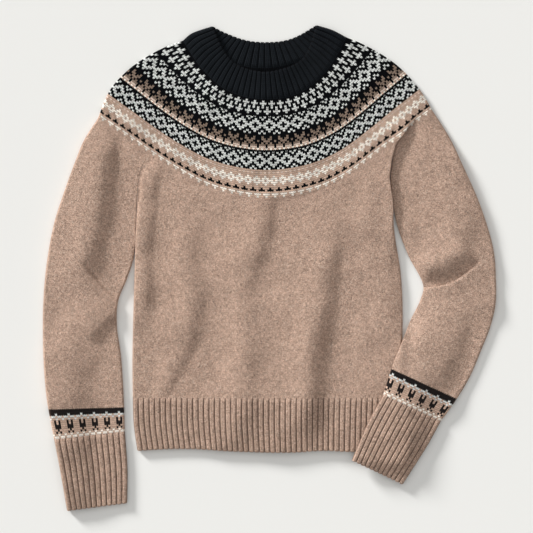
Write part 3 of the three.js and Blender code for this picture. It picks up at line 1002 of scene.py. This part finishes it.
def ribbed_wool():
    """The same yarn in the ribs, where a narrow groove with painted shade parts two cords."""
    finish = Finish("ribbed_wool")
    stitches = Stitches(finish)
    # painted shade in the grooves between the cords
    colour = groove_shaded(finish, stitches, heather(finish, stitches, (*BEIGE, 1)), 0.75)
    return dress(finish, colour, fuzzy(finish, stitches), HEATHER_SHEEN)


# %% [markdown]
# ## Charts
#
# Fair isle is knitted from a chart, and a row never holds more than two colours. Each chart row below
# is written as a knitter would: the ground, the second colour, and the stitches of one repeat, with a
# # where the second colour shows. The rows were charted from the motifs that are usual in such
# yokes: crosses, diamonds with dots, rosettes, small flowers and little hats, and tulips in the
# sleeves. In the shader the row number looks up both colours and the repeat, which is stored as a
# number whose binary digits are its stitches.

# %% Charts
YARNS = dict(
    K=wool_colour(9, 11, 14), W=wool_colour(217, 219, 215), T=wool_colour(140, 121, 107),
    B=wool_colour(202, 172, 152), L=wool_colour(222, 199, 182), C=wool_colour(250, 240, 227),
)
CROSSES = ["#...", "##.#", "#...", "#.#.", "..#.", ".###", "..#."]
DIAMONDS = [".#...#", "#..#..", "..###.", ".##.##", "##...#", ".##.##", "..###.", "#..#..", ".#...#"]
ROSETTES = ["..#...#.", "..##.##.", "#..###..", "..#.#.#.", ".###.###"]
FLOWERS = ["#...", "##.#", ".###", "##.#", "#..."]


def band(ground, second, repeats):
    return [(ground, second, repeat) for repeat in repeats]


YOKE_CHART = [
    *band("K", "K", ["."]),
    *band("K", "W", CROSSES),
    *band("K", "K", ["."]),
    *band("K", "W", DIAMONDS),
    *band("K", "K", ["."]),
    *band("K", "T", ROSETTES),
    *band("K", "L", [".###.###"]),
    *band("B", "C", ["#."]),
    *band("K", "K", ["."]),
    *band("K", "W", DIAMONDS),
    *band("B", "L", [".", "#.", "."]),
    *band("B", "C", FLOWERS),
    *band("B", "B", ["."]),
    *band("B", "K", ["#...", "##.#"]),
    *band("B", "B", ["."]),
    *band("B", "C", [".###", "..#."]),
]
# Stitches in the front and in the back half from each row on, as a yoke is knitted with its increases
YOKE_COUNTS = [(0, 108, 84), (9, 124, 98), (18, 152, 120), (27, 156, 126), (36, 170, 138), (44, 174, 142)]
SLEEVE_CHART = [
    *band("K", "K", [".", "."]),
    *band("K", "W", ["#....."]),
    *band("B", "W", [".##.##", "#..#.."]),
    *band("B", "K", [".#...#", ".#...#", "##...#", "##...#", "#.....", ".#...#"]),
    *band("B", "C", ["#..#..", ".##.##"]),
]
print(f"the yoke's chart has {len(YOKE_CHART)} rows, a sleeve's {len(SLEEVE_CHART)}")

# %% A chart in a material
TABLE_STEPS = 25  # rows that one ramp holds
DIGITS = 8  # the longest repeat
MOST_STITCHES = 256  # in half a round, so that a count fits between 0 and 1
GAP_SHADE, OWN_TONE = 5, 4.1  # how much the painted shade in the gaps between stitches counts, and the sum at which yarn has its own tone


def row_table(finish, row, values):
    """A value for each row, from as many ramps as the rows need."""
    values = list(values)
    found = None
    for start in range(0, len(values), TABLE_STEPS):
        stops = values[start:start + TABLE_STEPS]
        share = (row - (start - 0.5)) / len(stops)
        part = finish.node("ShaderNodeValToRGB", dict(stops=stops), {"Fac": share})
        found = part if found is None else finish.blend(row > start - 0.5, found, part)
    return found


def chart_digits(repeat):
    """The repeat as a share of 1, whose binary digits are its stitches, and its length in eighths."""
    number = sum(2 ** i for i, mark in enumerate(repeat) if mark == "#")
    return (number / 2 ** DIGITS, len(repeat) / DIGITS, 0.0)


def charted(finish, stitches, row, chart):
    """The colour of a stitch in a chart."""
    row = row.at_most(len(chart) - 1)
    ground = row_table(finish, row, [YARNS[ground] for ground, _, _ in chart])
    second = row_table(finish, row, [YARNS[second] for _, second, _ in chart])
    digits = finish.node("ShaderNodeSeparateColor", None,
                         {0: row_table(finish, row, [chart_digits(repeat) for _, _, repeat in chart])})
    repeat = digits.beside(1) * DIGITS
    place = stitches.stitch % repeat
    shows = ((digits * 2 ** DIGITS + 0.01) / 2 ** place).floor() % 2
    return finish.blend(shows > 0.5, ground, second)


def yoke_stitches(stitches):
    """The UV map counts shares of the front and the back half, and the rows say how many stitches."""
    finish = stitches.finish
    counts = [max(c for c in YOKE_COUNTS if c[0] <= row) for row in range(YOKE_ROWS)]
    shares = [(front / MOST_STITCHES, back / MOST_STITCHES, 0.0) for _, front, back in counts]
    halves = finish.node("ShaderNodeSeparateColor", None, {0: row_table(finish, stitches.v.floor(), shares)})
    behind = stitches.u > 1
    front = stitches.u * halves * MOST_STITCHES
    rest = halves * MOST_STITCHES + (stitches.u - 1) * halves.beside(1) * MOST_STITCHES
    return front + behind * (rest - front)


def toned_and_gap_shaded(finish, stitches, colour, amount):
    """Charted yarn is nearly plain, with a little tone from stitch to stitch, and painted shade in the gaps
    between its stitches.
    """
    tone = stitches.shade() + finish.noise(2.2, 2, 0.6) + stitches.relief() * GAP_SHADE
    return finish.toned(colour, tone * amount + (1 - OWN_TONE * amount))


def yoke_wool():
    finish = Finish("patterned_wool")
    stitches = Stitches(finish, yoke_stitches)
    colour = toned_and_gap_shaded(finish, stitches, charted(finish, stitches, stitches.row, YOKE_CHART), 0.37)
    return dress(finish, colour, fuzzy(finish, stitches, 0.7, 0.4), sheen=0.01, gloss=0.04)


def sleeve_wool():
    finish = Finish("sleeve_wool")
    stitches = Stitches(finish)
    row = stitches.row - (SLEEVE_ROWS - len(SLEEVE_CHART))
    plain = heather(finish, stitches, (*BEIGE, 1))
    pattern = toned_and_gap_shaded(finish, stitches, charted(finish, stitches, row, SLEEVE_CHART), 0.3)
    colour = finish.blend(row > -0.5, plain, pattern)
    return dress(finish, colour, fuzzy(finish, stitches), HEATHER_SHEEN)


def black_wool():
    finish = Finish("black_wool")
    stitches = Stitches(finish)
    # painted shade in the gaps between stitches and in the grooves between the ribs
    colour = groove_shaded(finish, stitches, toned_and_gap_shaded(finish, stitches, (*wool_colour(25, 29, 33), 1), 0.2), 0.6)
    return dress(finish, colour, fuzzy(finish, stitches), sheen=0.02, gloss=0.05)


WOOL, RIB_WOOL, SLEEVE_WOOL = heather_wool(), ribbed_wool(), sleeve_wool()
looks = [  # each piece and its material
    (front, WOOL), (back, WOOL), (hem_band, RIB_WOOL), (cuff_left, RIB_WOOL), (cuff_right, RIB_WOOL),
    (sleeve_left, SLEEVE_WOOL), (sleeve_right, SLEEVE_WOOL), (yoke, yoke_wool()), (neckband, black_wool()),
]
for piece, material in looks:
    piece.data.materials.append(material)
print(len({material.name for _, material in looks}), "kinds of wool")

# %% [markdown]
# ## Table, light and camera
#
# The jumper lies on a plain pale table. A large soft lamp stands low at the upper left, so folds that
# face right darken and the garment throws a short soft shadow to the lower right. A very wide one
# stands high on the same side and opens the shadows, as does the pale room. The camera looks straight
# down with a long lens, as for a catalogue.

# %% Table
FLOOR_COLOUR = (0.80, 0.795, 0.767)
FLOOR_SIZE, FLOOR_LEVEL = 3.0, -0.0002  # just under the wool, so that the two don't lie in one plane


def build_floor():
    mesh = bpy.data.meshes.new("floor")
    work = bmesh.new()
    bmesh.ops.create_grid(work, x_segments=1, y_segments=1, size=FLOOR_SIZE,
                          matrix=Matrix.Translation((0, 0, FLOOR_LEVEL)))
    work.to_mesh(mesh)
    work.free()
    floor = bpy.data.objects.new("floor", mesh)
    bpy.context.scene.collection.objects.link(floor)
    finish = Finish("table")
    shader = finish.node("ShaderNodeBsdfPrincipled", None, {
        "Base Color": (*FLOOR_COLOUR, 1), "Roughness": 1.0, "Specular IOR Level": 0.0,
    })
    finish.node("ShaderNodeOutputMaterial", None, {"Surface": shader})
    floor.data.materials.append(finish.material)


build_floor()

print(f"the table is {2 * FLOOR_SIZE:.0f} m wide")

# %% Light
SKY = 0.26  # brightness of the pale room
LAMPS = [
    dict(name="low_lamp", height=18, angle=13, power=4.4),
    dict(name="high_lamp", height=80, angle=95, power=1.2),
]
LAMP_SIDE = 135  # degrees from +X, so the light comes from the upper left


def build_light():
    world = bpy.data.worlds.new("studio")
    bpy.context.scene.world = world
    world.use_nodes = True
    world.node_tree.nodes["Background"].inputs["Color"].default_value = (1, 1, 1, 1)
    world.node_tree.nodes["Background"].inputs["Strength"].default_value = SKY
    for lamp in LAMPS:
        light = bpy.data.lights.new(lamp["name"], "SUN")
        light.angle = math.radians(lamp["angle"])
        light.energy = lamp["power"]
        made = bpy.data.objects.new(lamp["name"], light)
        side, height = math.radians(LAMP_SIDE), math.radians(lamp["height"])
        flat = math.cos(height)
        towards = Vector((math.cos(side) * flat, math.sin(side) * flat, math.sin(height)))
        made.rotation_euler = towards.to_track_quat("Z", "Y").to_euler()
        bpy.context.scene.collection.objects.link(made)


build_light()
print("lamps:", ", ".join(lamp["name"] for lamp in LAMPS))
bpy.context.scene.view_settings.view_transform = "Standard"

# %% Camera
LENS = 200.0
SENSOR = 36.0
VIEW = 799.5 * METRE  # width of the table that the picture shows
VIEW_CENTRE = (-4.5 * METRE, 2.25 * METRE)
CLOTH_LEVEL = 6 * METRE  # the height at which that width is measured

camera_data = bpy.data.cameras.new("camera")
camera_data.lens = LENS
camera_data.sensor_width = SENSOR
camera = bpy.data.objects.new("camera", camera_data)
camera.location = (*VIEW_CENTRE, VIEW * LENS / SENSOR + CLOTH_LEVEL)
bpy.context.scene.collection.objects.link(camera)
bpy.context.scene.camera = camera
print(f"the camera stands {camera.location.z:.2f} m above the table")

# %% [markdown]
# ## The pieces
#
# Each piece of knitting stands for its solid, named by its node, which is hidden, and goes with the
# one body. The table also lists a slot, the size that it was knitted to, its area and what it rests
# on, which this script doesn't read.

# %% Pieces
CLOTH = [
    dict(piece=yoke, node="yoke", slot="patterned_wool", flat=(1.1, 0.17), area=0.139, rests_on=["floor"]),
    dict(piece=front, node="front", slot="heather_wool", flat=(0.4, 0.35), area=0.128,
         rests_on=["back_knit"]),
    dict(piece=back, node="back", slot="heather_wool", flat=(0.4, 0.385), area=0.137,
         rests_on=["floor"]),
    dict(piece=sleeve_left, node="sleeve_left", slot="heather_wool", flat=(0.235, 0.45), area=0.1,
         rests_on=["floor"]),
    dict(piece=sleeve_right, node="sleeve_right", slot="heather_wool", flat=(0.235, 0.44), area=0.095,
         rests_on=["floor", "front_knit"]),
    dict(piece=hem_band, node="hem_band", slot="heather_wool", flat=(0.82, 0.081), area=0.066,
         rests_on=["floor"]),
    dict(piece=cuff_left, node="cuff_left", slot="heather_wool", flat=(0.21, 0.11), area=0.021,
         rests_on=["floor"]),
    dict(piece=cuff_right, node="cuff_right", slot="heather_wool", flat=(0.21, 0.11), area=0.021,
         rests_on=["hem_rib", "floor"]),
    dict(piece=neckband, node="neckband", slot="black_wool", flat=(0.6, 0.045), area=0.0235,
         rests_on=["floor"]),
]
for cloth in CLOTH:
    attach(cloth["piece"], "root")
    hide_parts(cloth["node"])
print(len(CLOTH), "pieces of knitting")
